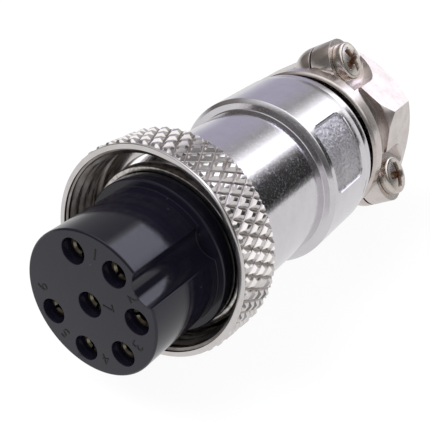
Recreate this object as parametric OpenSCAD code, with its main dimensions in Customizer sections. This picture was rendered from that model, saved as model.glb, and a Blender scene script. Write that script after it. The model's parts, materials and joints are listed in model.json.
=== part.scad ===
// Round cable plug with seven socket contacts, a loose coupling nut, a screwed-on rear
// shell and a cable clamp with two screws.
// Millimetres. The origin is the centre of the insert's mating face. +Y runs along the
// plug's axis to the cable end, +X is to the right and +Z is up as the plug lies on its
// side. Angles about the axis are counted from +X towards +Z.

/* [Insert] */
// Diameter of the insert where the socket's shell slides over it
insert_d = 12; // [11:0.1:12.4]
// Length of the insert in front of its flange
insert_nose = 7.6; // [6:0.1:9]
// Diameter of the insert's flange
insert_flange_d = 13.4; // [12.8:0.1:13.4]
// How far the flange stands in front of the metal sleeve
flange_proud = 1.4; // [0.6:0.1:2]
// Depth of the flange's seat in the sleeve
flange_seat = 0.5; // [0.3:0.1:0.6]
// Diameter of the insert's body inside the sleeve
insert_body_d = 11.5; // [11.2:0.1:11.6]
// Length of the insert's body behind the flange's seat
insert_body_len = 5.5; // [4:0.1:7]
// Chamfer on the insert's edges
insert_edge = 0.12; // [0.05:0.01:0.15]
// Angle of the key groove about the axis
key_angle = 31; // [20:1:40]
// Diameter of the round-bottomed key groove
key_d = 3.2; // [2:0.1:3.6]
// Depth of the key groove
key_depth = 1; // [0.6:0.1:1.2]

/* [Contacts] */
// Diameter of the circle of contacts
contact_circle_d = 8.54; // [8.2:0.02:8.6]
// Places on the circle, counting the one left blank
contact_places = 7; // [7:1:7]
// Angle of the first contact about the axis
first_contact_angle = 105.6; // [95:0.1:115]
// Diameter of the holes in the insert's face
face_hole_d = 2.1; // [1.9:0.05:2.3]
// Depth of the contacts' mouths behind the insert's face
contact_recess = 0.8; // [0.4:0.1:1.5]
// Outside diameter of a contact's socket
socket_d = 1.7; // [1.5:0.05:1.8]
// Bore of a contact, for a pin of its own size
pin_bore_d = 1; // [0.9:0.05:1.1]
// Depth of that bore
pin_bore_depth = 7; // [6:0.1:9]
// Length of the slit that makes the socket springy
slit_len = 5; // [3:0.1:6]
// Width of that slit
slit_w = 0.25; // [0.15:0.05:0.3]
// Diameter of the collar that holds a contact in the insert
contact_collar_d = 2.4; // [2.2:0.05:2.5]
// Thickness of that collar
contact_collar_t = 0.8; // [0.5:0.1:1.2]
// Outside diameter of the solder cup
cup_d = 2; // [1.8:0.05:2]
// Bore of the solder cup
cup_bore_d = 1.4; // [1.1:0.05:1.5]
// Length of the solder cup behind the contact plate
cup_len = 3.6; // [2.5:0.1:4.5]
// Length of the solder cup's open side
cup_window = 1.9; // [1:0.1:2.5]
// Thickness of the plate behind the contacts' collars
contact_plate_t = 2.05; // [1.5:0.05:3]

/* [Front sleeve] */
// Diameter of the sleeve's flange inside the coupling nut
sleeve_flange_d = 14.36; // [14.1:0.02:14.4]
// Thickness of that flange
sleeve_flange_t = 1; // [0.8:0.05:1]
// Diameter of the neck that the coupling nut hangs on
neck_d = 12.6; // [12.5:0.05:12.7]
// Length of the neck between the flange and the rear shell
neck_len = 3; // [2.8:0.1:4]
// Outside diameter of the threaded tail
tail_d = 12.4; // [12.2:0.05:12.4]

/* [Coupling nut] */
// Diameter of the coupling nut over its knurl
nut_d = 18; // [17.6:0.1:19]
// Height of the knurl's points
knurl_h = 0.32; // [0.2:0.02:0.36]
// Knurl points in one row round the nut
knurl_count = 50; // [40:1:60]
// Distance along the nut between points that lie in line
knurl_pitch = 2.2; // [1.8:0.1:2.6]
// Angle of one of the knurl's points about the nut's axis
knurl_angle = 37.7; // [0:0.1:360]
// Length of the coupling nut
nut_len = 5; // [4.8:0.1:5.4]
// Diameter over the crests of the coupling thread
thread_crest_d = 15.8; // [15.8:0.05:16]
// Depth of the coupling thread
thread_depth = 0.35; // [0.2:0.05:0.4]
// Pitch of the coupling thread
thread_pitch = 1; // [0.75:0.25:1]
// Number of thread turns
thread_turns = 3; // [2:1:3]
// Length of the chamfer in the nut's mouth
mouth_chamfer = 0.5; // [0.3:0.1:0.6]
// Thickness of the lip behind the sleeve's flange
lip_t = 0.9; // [0.7:0.05:0.95]
// Bore of the lip
lip_bore_d = 14; // [13.9:0.05:14.1]
// How far the loose nut leans forwards, in degrees
nut_lean = 4.4; // [0:0.2:4.6]
// How far the nut's lip lies above the sleeve's axis
nut_raise = 0.5; // [0:0.05:0.52]
// Distance from the flange's back to the middle of the lip
nut_play = 1.15; // [1.1:0.05:1.3]

/* [Rear shell] */
// Diameter of the shell's front part
shell_front_d = 14.4; // [14:0.1:15]
// Length of the shell's front part
shell_front_len = 9.9; // [8:0.1:14]
// Diameter of the shell's rear part
shell_rear_d = 16.3; // [16:0.1:18]
// Length of the shell's rear part
shell_rear_len = 8.5; // [7.5:0.1:12]
// Chamfer where the rear part begins
shoulder_chamfer = 0.35; // [0.2:0.05:0.5]
// Bore of the room behind the contacts
wire_room_d = 12.2; // [11.6:0.1:12.2]
// Bore of the room in the rear part
cable_room_d = 13.2; // [12.4:0.1:13.4]
// Thickness of the ring that presses on the contact plate
press_ring_t = 0.8; // [0.6:0.1:1.2]
// Bore of that ring
press_ring_bore_d = 10.9; // [10.7:0.1:11]
// Length of the recessed panel along the axis
panel_len = 5.2; // [4:0.1:6]
// Arc of the recessed panel, in degrees
panel_arc = 46; // [30:1:60]
// Angle of the panel's middle about the axis
panel_angle = 28; // [0:1:90]
// Depth of the recessed panel
panel_depth = 0.2; // [0.1:0.05:0.4]
// Distance from the shoulder to the panel
panel_from_shoulder = 0.9; // [0.6:0.1:1.5]

/* [Cable clamp] */
// Bore for the cable
cable_d = 8; // [7:0.1:8.4]
// Outside diameter of the clamp's threaded neck
clamp_neck_d = 14; // [13.6:0.1:14]
// Length of that neck inside the rear shell
clamp_engaged = 4; // [3:0.1:5]
// Gap between the rear shell and the clamp's collar
clamp_gap = 1.2; // [0.8:0.1:1.6]
// Diameter of the round collar
collar_d = 15.8; // [15:0.1:16]
// Length of the round collar
collar_len = 1.8; // [1.4:0.1:2.4]
// Diameter of the waist behind the collar
waist_d = 14.6; // [14:0.1:14.8]
// Length of that waist
waist_len = 1.6; // [1.6:0.1:2]
// Distance across the flats of the hexagon
hex_af = 15.2; // [14.8:0.1:16]
// Length of the hexagon
hex_len = 6.3; // [5.8:0.1:8]
// Angle of the clamp about the axis, towards the screws' heads
clamp_angle = 28.5; // [0:0.5:60]
// Height of the split above the axis
split_height = 3; // [2.6:0.1:3.2]
// Gap between the two halves at the split
split_gap = 0.2; // [0.15:0.05:0.4]

/* [Clamp screws] */
// Distance between the two screws
screw_spacing = 12.5; // [12:0.1:12.6]
// Distance from the hexagon's front to the screws
screw_from_hex = 1; // [0.9:0.1:1.6]
// Thread diameter of the screws
screw_d = 2; // [1.8:0.1:2]
// Depth of the screws' holes below the split
screw_hole_depth = 5.2; // [5:0.1:6]
// Radius of the lugs round the screws
lug_r = 2.5; // [2.3:0.05:2.5]
// Depth of the lower lugs below the split, with their round ends
lug_depth = 3; // [2.6:0.1:4]
// Height of the screws' seats above the axis
seat_height = 5.35; // [5:0.05:5.6]
// Radius of the pocket round each screw's head
pocket_r = 2.75; // [2.6:0.05:2.9]
// How far the pocket runs behind the screw
pocket_run = 1.2; // [0.8:0.1:2]
// Diameter of the screws' heads
head_d = 3.8; // [3.4:0.1:4]
// Height of the screws' heads
head_h = 1.25; // [1:0.05:1.4]
// Width of the cross recess's arms
recess_w = 0.55; // [0.4:0.05:0.7]
// Span of the cross recess
recess_span = 2.3; // [1.8:0.1:2.6]
// Depth of the cross recess
recess_depth = 0.7; // [0.5:0.05:0.8]

/* [Clearances] */
// Radial clearance of pieces that are screwed or pressed together
fixed_fit = 0.03; // [0.02:0.01:0.05]
// Radial clearance of the screws in their holes
screw_fit = 0.05; // [0.03:0.01:0.08]
// Gap between pieces that slide past each other's faces
face_gap = 0.08; // [0.05:0.01:0.09]

/* [Hidden] */

round_fn = 96;
small_fn = 32;
big = 60;

insert_r = insert_d / 2;
insert_flange_r = insert_flange_d / 2;
insert_body_r = insert_body_d / 2;
face_hole_r = face_hole_d / 2;
contact_circle_r = contact_circle_d / 2;
socket_r = socket_d / 2;
pin_bore_r = pin_bore_d / 2;
contact_collar_r = contact_collar_d / 2;
cup_r = cup_d / 2;
cup_bore_r = cup_bore_d / 2;
sleeve_flange_r = sleeve_flange_d / 2;
neck_r = neck_d / 2;
tail_r = tail_d / 2;
nut_r = nut_d / 2;
knurl_root_r = nut_r - knurl_h;
thread_crest_r = thread_crest_d / 2;
thread_root_r = thread_crest_r + thread_depth;
shell_front_r = shell_front_d / 2;
shell_rear_r = shell_rear_d / 2;
clamp_neck_r = clamp_neck_d / 2;
cable_r = cable_d / 2;
collar_r = collar_d / 2;
waist_r = waist_d / 2;
hex_r = hex_af / sqrt(3);
screw_r = screw_d / 2;
head_r = head_d / 2;

// Places along the axis, from the mating face to the cable end
sleeve_y = insert_nose + flange_proud;
flange_seat_y = sleeve_y + flange_seat;
neck_y = sleeve_y + sleeve_flange_t;
shell_y = neck_y + neck_len;
plate_y = flange_seat_y + insert_body_len;
cup_y = plate_y + contact_plate_t;
cup_end_y = cup_y + cup_len;
tail_end_y = cup_y - face_gap;
shoulder_y = shell_y + shell_front_len;
shell_end_y = shoulder_y + shell_rear_len;
clamp_front_y = shell_end_y - clamp_engaged;
collar_y = shell_end_y + clamp_gap;
waist_y = collar_y + collar_len;
hex_y = waist_y + waist_len;
end_y = hex_y + hex_len;
screw_y = hex_y + screw_from_hex;
lip_y = neck_y + nut_play;

// The contacts on the circle take every place but the last, and one more is in the middle
contact_angles = [for (i = [0:contact_places - 2]) first_contact_angle - i * 360 / contact_places];
contact_spots = concat(
    [for (a = contact_angles) [contact_circle_r, a]],
    [[0, 90]]
);

// Turns a profile of [radius, y] points about the plug's axis
module turned(points, arc = 360, fn = round_fn) {
    rotate([-90, 0, 0])
        rotate_extrude(angle = arc, $fn = fn)
            polygon(points);
}

// Moves what lies along +X to an angle about the axis
module at_angle(a) {
    rotate([0, -a, 0])
        children();
}

// A straight round bar or hole along the axis
module rod_y(r, y0, y1, fn = small_fn) {
    translate([0, y0, 0])
        rotate([-90, 0, 0])
            cylinder(r = r, h = y1 - y0, $fn = fn);
}

// Puts its children at one contact's place
module at_contact(spot) {
    at_angle(spot[1])
        translate([spot[0], 0, 0])
            children();
}

// ---- Insert and contacts ----

// Moulded insert that holds the contacts' sockets and the key groove
module insert() {
    color("#3f3d49")
        difference() {
            // The revolve starts in the key groove, so the groove cuts its seam away
            at_angle(key_angle)
                turned([
                    [0, 0],
                    [insert_r - insert_edge, 0],
                    [insert_r, insert_edge],
                    [insert_r, insert_nose],
                    [insert_flange_r - insert_edge, insert_nose],
                    [insert_flange_r, insert_nose + insert_edge],
                    [insert_flange_r, flange_seat_y],
                    [insert_body_r, flange_seat_y],
                    [insert_body_r, plate_y],
                    [0, plate_y]
                ]);
            at_angle(key_angle)
                translate([insert_r - key_depth + key_d / 2, 0, 0])
                    rod_y(key_d / 2, -1, insert_nose);
            for (spot = contact_spots)
                at_contact(spot) {
                    rod_y(face_hole_r, -1, plate_y + 1);
                    rod_y(contact_collar_r + fixed_fit, plate_y - contact_collar_t, plate_y + 1);
                }
        }
}

// Plate that closes the insert's back and traps the contacts' collars
module contact_plate() {
    color("#2c2b31")
        difference() {
            rod_y(insert_body_r, plate_y, cup_y, round_fn);
            for (spot = contact_spots)
                at_contact(spot)
                    rod_y(face_hole_r, plate_y - 1, cup_y + 1);
        }
}

// One turned contact: a slit socket, a collar and a solder cup with an open side
module contact(spot) {
    mouth_y = contact_recess;
    lead_in = 0.15;
    window_y = cup_end_y - cup_window;
    color("#c9a86a")
        at_contact(spot)
            difference() {
                turned([
                    [pin_bore_r + lead_in, mouth_y],
                    [socket_r, mouth_y],
                    [socket_r, plate_y - contact_collar_t],
                    [contact_collar_r, plate_y - contact_collar_t],
                    [contact_collar_r, plate_y],
                    [cup_r, plate_y],
                    [cup_r, cup_end_y],
                    [cup_bore_r, cup_end_y],
                    [cup_bore_r, cup_y],
                    [0, cup_y],
                    [0, mouth_y + pin_bore_depth],
                    [pin_bore_r, mouth_y + pin_bore_depth],
                    [pin_bore_r, mouth_y + lead_in]
                ], fn = small_fn);
                translate([-cup_r, mouth_y - 1, -slit_w / 2])
                    cube([2 * cup_r, slit_len + 1, slit_w]);
                translate([0, window_y, -cup_d])
                    cube([cup_d, cup_window + 1, 2 * cup_d]);
            }
}

module contact_1() { contact(contact_spots[0]); }
module contact_2() { contact(contact_spots[1]); }
module contact_3() { contact(contact_spots[2]); }
module contact_4() { contact(contact_spots[3]); }
module contact_5() { contact(contact_spots[4]); }
module contact_6() { contact(contact_spots[5]); }
module contact_7() { contact(contact_spots[6]); }

// ---- Front sleeve and coupling nut ----

// Sleeve that holds the insert; its neck carries the nut and its tail the rear shell
module front_sleeve() {
    edge = 0.1;
    tail_chamfer = 0.3;
    bore_r = insert_body_r + fixed_fit;
    seat_r = insert_flange_r + fixed_fit;
    color("#c9c6c6")
        turned([
            [seat_r, sleeve_y],
            [sleeve_flange_r - edge, sleeve_y],
            [sleeve_flange_r, sleeve_y + edge],
            [sleeve_flange_r, neck_y],
            [neck_r, neck_y],
            [neck_r, shell_y],
            [tail_r, shell_y],
            [tail_r, tail_end_y - tail_chamfer],
            [tail_r - tail_chamfer, tail_end_y],
            [bore_r, tail_end_y],
            [bore_r, flange_seat_y],
            [seat_r, flange_seat_y]
        ]);
}

// The thread's grooves, one ring for each turn
function thread_rings(y0) = [
    for (i = [0:thread_turns - 1])
        each [
            [thread_crest_r, y0 + (i + 0.1) * thread_pitch],
            [thread_root_r, y0 + (i + 0.45) * thread_pitch],
            [thread_root_r, y0 + (i + 0.55) * thread_pitch],
            [thread_crest_r, y0 + (i + 0.9) * thread_pitch]
        ]
];

function reverse(list) = [for (i = [len(list) - 1:-1:0]) list[i]];

// One row of the knurl's grid, from a row's [y, radius of its tips, radius of its roots].
// Tips and roots take turns round the row, and from one row to the next.
function knurl_row(j, row) = [
    for (i = [0:2 * knurl_count - 1])
        let (
            a = knurl_angle + i * 180 / knurl_count,
            r = (i + j) % 2 == 0 ? row[1] : row[2]
        )
            [r * cos(a), row[0], r * sin(a)]
];

// The two triangles of one cell of that grid, split from root to root, where the grooves run
function knurl_cell(i, j, rows) =
    let (
        n = 2 * knurl_count,
        near = i + j * n,
        beside = (i + 1) % n + j * n,
        behind = i + (j + 1) % rows * n,
        across = (i + 1) % n + (j + 1) % rows * n
    )
        (i + j) % 2 == 0
            ? [[near, beside, behind], [beside, across, behind]]
            : [[near, beside, across], [near, across, behind]];

// Band of diamond points from y0 to y1, closed by a core inside the nut's wall
module knurl(y0, y1, core_r) {
    run_in = 0.44;
    step = knurl_pitch / 2;
    tip_rows = floor((y1 - y0 - 2 * run_in) / step) + 1;
    rows = concat(
        [[y0, core_r, core_r], [y0, knurl_root_r, knurl_root_r]],
        [for (k = [0:tip_rows - 1]) [y0 + run_in + k * step, nut_r, knurl_root_r]],
        [[y1, knurl_root_r, knurl_root_r], [y1, core_r, core_r]]
    );
    polyhedron(
        points = [for (j = [0:len(rows) - 1]) each knurl_row(j, rows[j])],
        faces = [
            for (j = [0:len(rows) - 1])
                for (i = [0:2 * knurl_count - 1])
                    each knurl_cell(i, j, len(rows))
        ]
    );
}

// Loose nut with the coupling thread, leaning on the neck as it lies
module coupling_nut() {
    front = lip_t / 2 - nut_len;
    back = lip_t / 2;
    rim_w = 0.45;
    rim_len = 0.3;
    rim_r = nut_r - 0.15;
    edge = 0.3;
    // The knurl's band lies in a shallow channel and ends inside the rings beside it
    channel_depth = 0.2;
    overlap = 0.1;
    back_ring_r = knurl_root_r + 0.04;
    back_ring_len = 0.15;
    thread_y = front + mouth_chamfer;
    relief_y = thread_y + thread_turns * thread_pitch;
    knurl_front_y = front + rim_len;
    knurl_back_y = back - edge - back_ring_len;
    color("#c4c1c2")
        translate([0, lip_y, nut_raise])
            rotate([-nut_lean, 0, 0]) {
                turned(concat(
                    [
                        [thread_crest_r, thread_y],
                        [rim_r - rim_w, front],
                        [rim_r, front],
                        [rim_r, knurl_front_y],
                        [knurl_root_r - channel_depth, knurl_front_y],
                        [knurl_root_r - channel_depth, knurl_back_y],
                        [back_ring_r, knurl_back_y],
                        [back_ring_r, back - edge],
                        [back_ring_r - edge, back],
                        [lip_bore_d / 2, back],
                        [lip_bore_d / 2, back - lip_t],
                        [thread_root_r, back - lip_t],
                        [thread_root_r, relief_y]
                    ],
                    reverse(thread_rings(thread_y))
                ));
                knurl(
                    knurl_front_y - overlap,
                    knurl_back_y + overlap,
                    knurl_root_r - channel_depth - overlap
                );
            }
}

// ---- Rear shell ----

// Turned shell over the contacts' backs, with a recessed panel
module rear_shell() {
    front_edge = 0.2;
    back_edge = 0.35;
    step = 0.1;
    step_from_end = 1.3;
    tail_bore_r = tail_r + fixed_fit;
    neck_bore_r = clamp_neck_r + fixed_fit;
    wire_room_r = wire_room_d / 2;
    cable_room_r = cable_room_d / 2;
    ring_end_y = cup_y + press_ring_t;
    room_step_y = shoulder_y + shoulder_chamfer;
    panel_y = shoulder_y + panel_from_shoulder;
    color("#c2bfc6")
        difference() {
            turned([
                [tail_bore_r, shell_y],
                [shell_front_r - front_edge, shell_y],
                [shell_front_r, shell_y + front_edge],
                [shell_front_r, shoulder_y],
                [shell_rear_r - shoulder_chamfer, shoulder_y],
                [shell_rear_r, shoulder_y + shoulder_chamfer],
                [shell_rear_r, shell_end_y - step_from_end],
                [shell_rear_r - step, shell_end_y - step_from_end],
                [shell_rear_r - step, shell_end_y - back_edge],
                [shell_rear_r - step - back_edge, shell_end_y],
                [neck_bore_r, shell_end_y],
                [neck_bore_r, clamp_front_y - 0.4],
                [cable_room_r, clamp_front_y - 0.4],
                [cable_room_r, room_step_y + cable_room_r - wire_room_r],
                [wire_room_r, room_step_y],
                [wire_room_r, ring_end_y],
                [press_ring_bore_d / 2, ring_end_y],
                [press_ring_bore_d / 2, cup_y],
                [tail_bore_r, cup_y]
            ]);
            at_angle(panel_angle + panel_arc / 2)
                turned([
                    [shell_rear_r - panel_depth, panel_y],
                    [shell_rear_r + 1, panel_y],
                    [shell_rear_r + 1, panel_y + panel_len],
                    [shell_rear_r - panel_depth, panel_y + panel_len]
                ], arc = panel_arc);
        }
}

// ---- Cable clamp ----
// These modules are drawn with the screws' heads towards +X, and turned into place.

// Puts its children at both screws, with +X along the screw
module at_screws() {
    for (side = [-1, 1])
        translate([0, screw_y, side * screw_spacing / 2])
            children();
}

// A round bar or hole along +X
module rod_x(r, x0, x1, fn = small_fn) {
    translate([x0, 0, 0])
        rotate([0, 90, 0])
            cylinder(r = r, h = x1 - x0, $fn = fn);
}

// The whole clamp before it is split: neck, collar, waist, hexagon and lugs
module clamp_blank() {
    edge = 0.25;
    front_r = 8.1;
    front_len = 1.2;
    back_r = 7.4;
    back_len = 2.2;
    neck_groove = 0.3;
    turned([
        [0, clamp_front_y],
        [clamp_neck_r - edge, clamp_front_y],
        [clamp_neck_r, clamp_front_y + edge],
        [clamp_neck_r, shell_end_y],
        [clamp_neck_r - neck_groove, shell_end_y],
        [clamp_neck_r - neck_groove, collar_y],
        [collar_r - edge, collar_y],
        [collar_r, collar_y + edge],
        [collar_r, waist_y - edge],
        [collar_r - edge, waist_y],
        [waist_r, waist_y],
        [waist_r, hex_y + edge],
        [0, hex_y + edge]
    ]);
    intersection() {
        translate([0, hex_y, 0])
            rotate([-90, 0, 0])
                cylinder(r = hex_r, h = hex_len, $fn = 6);
        turned([
            [0, hex_y],
            [front_r, hex_y],
            [hex_r + edge, hex_y + front_len],
            [hex_r + edge, end_y - back_len],
            [back_r, end_y],
            [0, end_y]
        ]);
    }
    at_screws() {
        rod_x(lug_r, split_height - lug_depth + lug_r, seat_height);
        translate([split_height - lug_depth + lug_r, 0, 0])
            sphere(r = lug_r, $fn = small_fn);
    }
}

// The hole for the cable, wider at its mouths
module cable_hole() {
    flare = 0.4;
    turned([
        [0, clamp_front_y - 1],
        [cable_r, clamp_front_y - 1],
        [cable_r, end_y - flare],
        [cable_r + flare + 1, end_y + 1],
        [0, end_y + 1]
    ]);
}

// Rear fitting that screws into the shell and carries the lower half of the clamp
module clamp_base() {
    color("#b9aca6")
        at_angle(clamp_angle)
            difference() {
                clamp_blank();
                cable_hole();
                translate([split_height, waist_y, -big / 2])
                    cube([big, big, big]);
                at_screws()
                    rod_x(screw_r + screw_fit, split_height - screw_hole_depth, big);
            }
}

// Upper half of the clamp, with a pocket for each screw's head
module clamp_saddle() {
    color("#bdb2ad")
        at_angle(clamp_angle)
            difference() {
                intersection() {
                    clamp_blank();
                    translate([split_height + split_gap, waist_y + face_gap, -big / 2])
                        cube([big, big, big]);
                }
                cable_hole();
                at_screws() {
                    rod_x(screw_r + screw_fit, 0, big);
                    translate([0, pocket_run, 0])
                        rod_x(pocket_r, seat_height, big);
                    translate([seat_height, -big / 2, -pocket_r])
                        cube([big, big / 2 + pocket_run, 2 * pocket_r]);
                }
            }
}

// Pan-head screw with a cross recess, turned by an angle about its own axis
module clamp_screw(side, turn) {
    tip_gap = 0.6;
    seat_x = seat_height + face_gap / 4;
    tip_x = split_height - screw_hole_depth + tip_gap;
    tip_chamfer = 0.3;
    crown = 0.4;
    color("#a8917f")
        at_angle(clamp_angle)
            translate([0, screw_y, side * screw_spacing / 2])
                rotate([turn, 0, 0])
                    difference() {
                        rotate([0, 90, 0])
                            rotate_extrude($fn = small_fn)
                                polygon([
                                    [0, tip_x],
                                    [screw_r - tip_chamfer, tip_x],
                                    [screw_r, tip_x + tip_chamfer],
                                    [screw_r, seat_x],
                                    [head_r, seat_x],
                                    [head_r, seat_x + head_h - crown],
                                    [head_r - crown, seat_x + head_h],
                                    [0, seat_x + head_h]
                                ]);
                        for (arm = [0, 90])
                            rotate([arm, 0, 0])
                                translate([
                                    seat_x + head_h - recess_depth,
                                    -recess_span / 2,
                                    -recess_w / 2
                                ])
                                    cube([head_h, recess_span, recess_w]);
                    }
}

module clamp_screw_upper() { clamp_screw(1, 20); }
module clamp_screw_lower() { clamp_screw(-1, -15); }

insert();
contact_plate();
contact_1();
contact_2();
contact_3();
contact_4();
contact_5();
contact_6();
contact_7();
front_sleeve();
coupling_nut();
rear_shell();
clamp_base();
clamp_saddle();
clamp_screw_upper();
clamp_screw_lower();
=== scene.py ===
"""Finishes and fine shapes of a round cable plug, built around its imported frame.

Sizes are in millimetres and angles in degrees unless a name says otherwise. The plug's axis
is +Y, from the mating face to the cable end, and angles about it run from +X towards +Z.
"""

import json
import logging
import math
from dataclasses import dataclass, field
from enum import Enum

import bmesh
import bpy
import numpy as np
from mathutils import Matrix, Vector


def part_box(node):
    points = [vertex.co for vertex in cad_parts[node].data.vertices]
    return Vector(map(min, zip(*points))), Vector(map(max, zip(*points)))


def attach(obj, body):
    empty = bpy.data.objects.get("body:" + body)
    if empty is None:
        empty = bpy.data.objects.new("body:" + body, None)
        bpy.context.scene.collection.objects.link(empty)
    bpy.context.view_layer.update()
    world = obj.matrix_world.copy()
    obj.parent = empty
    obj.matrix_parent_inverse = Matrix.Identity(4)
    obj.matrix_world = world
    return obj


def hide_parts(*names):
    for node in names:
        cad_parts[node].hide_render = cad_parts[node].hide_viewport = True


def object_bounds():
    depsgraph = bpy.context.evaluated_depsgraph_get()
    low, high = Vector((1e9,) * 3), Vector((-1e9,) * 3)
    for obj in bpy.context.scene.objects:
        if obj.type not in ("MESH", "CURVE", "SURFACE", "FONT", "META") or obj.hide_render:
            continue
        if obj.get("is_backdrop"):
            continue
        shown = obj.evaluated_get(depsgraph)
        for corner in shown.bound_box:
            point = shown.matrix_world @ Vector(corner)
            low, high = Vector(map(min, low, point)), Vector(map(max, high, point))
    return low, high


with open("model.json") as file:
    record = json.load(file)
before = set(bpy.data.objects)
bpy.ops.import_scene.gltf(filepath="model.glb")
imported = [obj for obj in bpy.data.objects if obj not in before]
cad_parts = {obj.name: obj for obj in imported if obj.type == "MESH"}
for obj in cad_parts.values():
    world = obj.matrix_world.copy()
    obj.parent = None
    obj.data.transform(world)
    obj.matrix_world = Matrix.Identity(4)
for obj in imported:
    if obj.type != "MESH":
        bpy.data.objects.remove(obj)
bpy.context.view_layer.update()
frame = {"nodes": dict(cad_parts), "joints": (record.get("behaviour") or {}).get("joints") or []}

MM = 0.001
WELD = 2e-7  # metres within which two points are one
FLAT_ANGLE = 0.6  # a CAD face's triangles meet within this angle
SHARP_ANGLE = 32.0  # an edge above this angle keeps its crease
LOG = logging.getLogger("plug")

Points = np.ndarray
Faces = np.ndarray
Thing = bpy.types.Object
Finish = bpy.types.Material
Tree = bpy.types.NodeTree
Socket = bpy.types.NodeSocket
Colour = tuple[float, float, float, float]


# ---------------------------------------------------------------- colours and nodes


def linear(colour: str) -> Colour:
    """Turns an sRGB hex colour into linear light.

    Args:
        colour: Six hex digits after a hash.

    Returns:
        Red, green, blue and an alpha of 1.
    """
    parts = [int(colour[i : i + 2], 16) / 255 for i in (1, 3, 5)]
    bent = [c / 12.92 if c <= 0.04045 else ((c + 0.055) / 1.055) ** 2.4 for c in parts]
    return (bent[0], bent[1], bent[2], 1.0)


def add_node(tree: Tree, kind: str, inputs: dict | None = None, **settings) -> bpy.types.Node:
    """Adds one node with its settings, values and links.

    Args:
        tree: The node tree to add to.
        kind: The node's type, without the ShaderNode in front.
        inputs: Values or output sockets, by the input's name or number.
        settings: The node's own properties.

    Returns:
        The new node.
    """
    node = tree.nodes.new("ShaderNode" + kind)
    for name, value in settings.items():
        setattr(node, name, value)
    for key, value in (inputs or {}).items():
        if isinstance(value, Socket):
            tree.links.new(value, node.inputs[key])
        else:
            node.inputs[key].default_value = value
    return node


def new_finish(name: str) -> tuple[Finish, Tree]:
    """Makes an empty material.

    Args:
        name: The material's name.

    Returns:
        The material and its node tree, with no nodes in it.
    """
    made = bpy.data.materials.new(name)
    made.use_nodes = True
    made.node_tree.nodes.clear()
    return made, made.node_tree


def set_ramp(node: bpy.types.Node, stops: list[tuple[float, Colour]]) -> None:
    """Gives a colour ramp its stops.

    Args:
        node: A colour ramp node.
        stops: Places from 0 to 1 with their linear colours, in order.
    """
    elements = node.color_ramp.elements
    while len(elements) < len(stops):
        elements.new(1.0)
    for element, (place, colour) in zip(elements, stops):
        element.position = place
        element.color = colour


# ---------------------------------------------------------------- shapes


def turn_about_y(radius: Points, y: Points, angle: Points) -> Points:
    """Points of a turned surface: x = r cos(a), y = y, z = r sin(a), with a in degrees."""
    radius, y, a = np.broadcast_arrays(radius, y, np.radians(angle))
    return np.stack([radius * np.cos(a), y, radius * np.sin(a)], axis=-1)


def grid_faces(rows: int, columns: int, closed_rows: bool = True) -> Faces:
    """Quads of a grid whose columns close round.

    Args:
        rows: Number of rows of points.
        columns: Number of points in a row.
        closed_rows: Whether the last row joins the first.

    Returns:
        Four point numbers for each quad.
    """
    j = np.arange(rows if closed_rows else rows - 1)[:, None]
    i = np.arange(columns)[None, :]
    after, beside = (j + 1) % rows, (i + 1) % columns
    corners = [j * columns + i, after * columns + i, after * columns + beside, j * columns + beside]
    return np.stack([np.broadcast_to(c, (len(j), columns)) for c in corners], axis=-1).reshape(-1, 4)


def soft_profile(corners: list[tuple[float, float, float]], steps: int = 4) -> Points:
    """Rounds the corners of a closed outline with arcs.

    Each arc touches both sides: it starts and ends at radius / tan(half the corner's angle)
    from the corner, and its points are spaced evenly round its centre.

    Args:
        corners: Radius from the axis, y, and the arc's radius, corner by corner.
        steps: Pieces in each arc.

    Returns:
        The outline's points as rows of radius and y.
    """
    nearly_straight = math.radians(88.8)
    outline = np.array([c[:2] for c in corners], float)
    made = []
    for k, (here, arc) in enumerate(zip(outline, [c[2] for c in corners])):
        to_last = outline[k - 1] - here
        to_next = outline[(k + 1) % len(outline)] - here
        to_last /= np.linalg.norm(to_last)
        to_next /= np.linalg.norm(to_next)
        half = math.acos(float(np.clip(to_last @ to_next, -1, 1))) / 2
        if arc <= 0 or half > nearly_straight:
            made.append(here[None])
            continue
        middle = to_last + to_next
        centre = here + middle / np.linalg.norm(middle) * arc / math.sin(half)
        start = here + to_last * arc / math.tan(half) - centre
        end = here + to_next * arc / math.tan(half) - centre
        sweep = math.pi - 2 * half
        share = np.linspace(0, 1, steps + 1)[:, None]
        blend = start * np.sin((1 - share) * sweep) + end * np.sin(share * sweep)
        made.append(centre + blend / math.sin(sweep))
    return np.concatenate(made)


def new_thing(name: str, data: bpy.types.ID) -> Thing:
    """Puts a mesh, lamp or camera into the scene.

    Args:
        name: The object's name.
        data: What it shows.

    Returns:
        The object, at the origin.
    """
    thing = bpy.data.objects.new(name, data)
    bpy.context.scene.collection.objects.link(thing)
    return thing


def smooth(mesh: bpy.types.Mesh, sharp: float = SHARP_ANGLE) -> None:
    """Shades a mesh smoothly, with creases where its faces turn by more than an angle."""
    mesh.polygons.foreach_set("use_smooth", np.ones(len(mesh.polygons), bool))
    mesh.set_sharp_from_angle(angle=math.radians(sharp))


def make_piece(name: str, points: Points, faces: list, finish: Finish, sharp: float = SHARP_ANGLE) -> Thing:
    """Makes a mesh object from points in millimetres.

    Args:
        name: The piece's name.
        points: Rows of x, y and z.
        faces: Point numbers of each face, turned outwards.
        finish: Its material.
        sharp: Angle between faces above which their edge stays sharp.

    Returns:
        The object, at the origin.
    """
    mesh = bpy.data.meshes.new(name)
    mesh.from_pydata((points.reshape(-1, 3) * MM).tolist(), [], faces)
    mesh.materials.append(finish)
    smooth(mesh, sharp)
    mesh.validate()
    piece = new_thing(name, mesh)
    piece.modifiers.new("even_shading", "WEIGHTED_NORMAL").keep_sharp = True
    return piece


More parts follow.
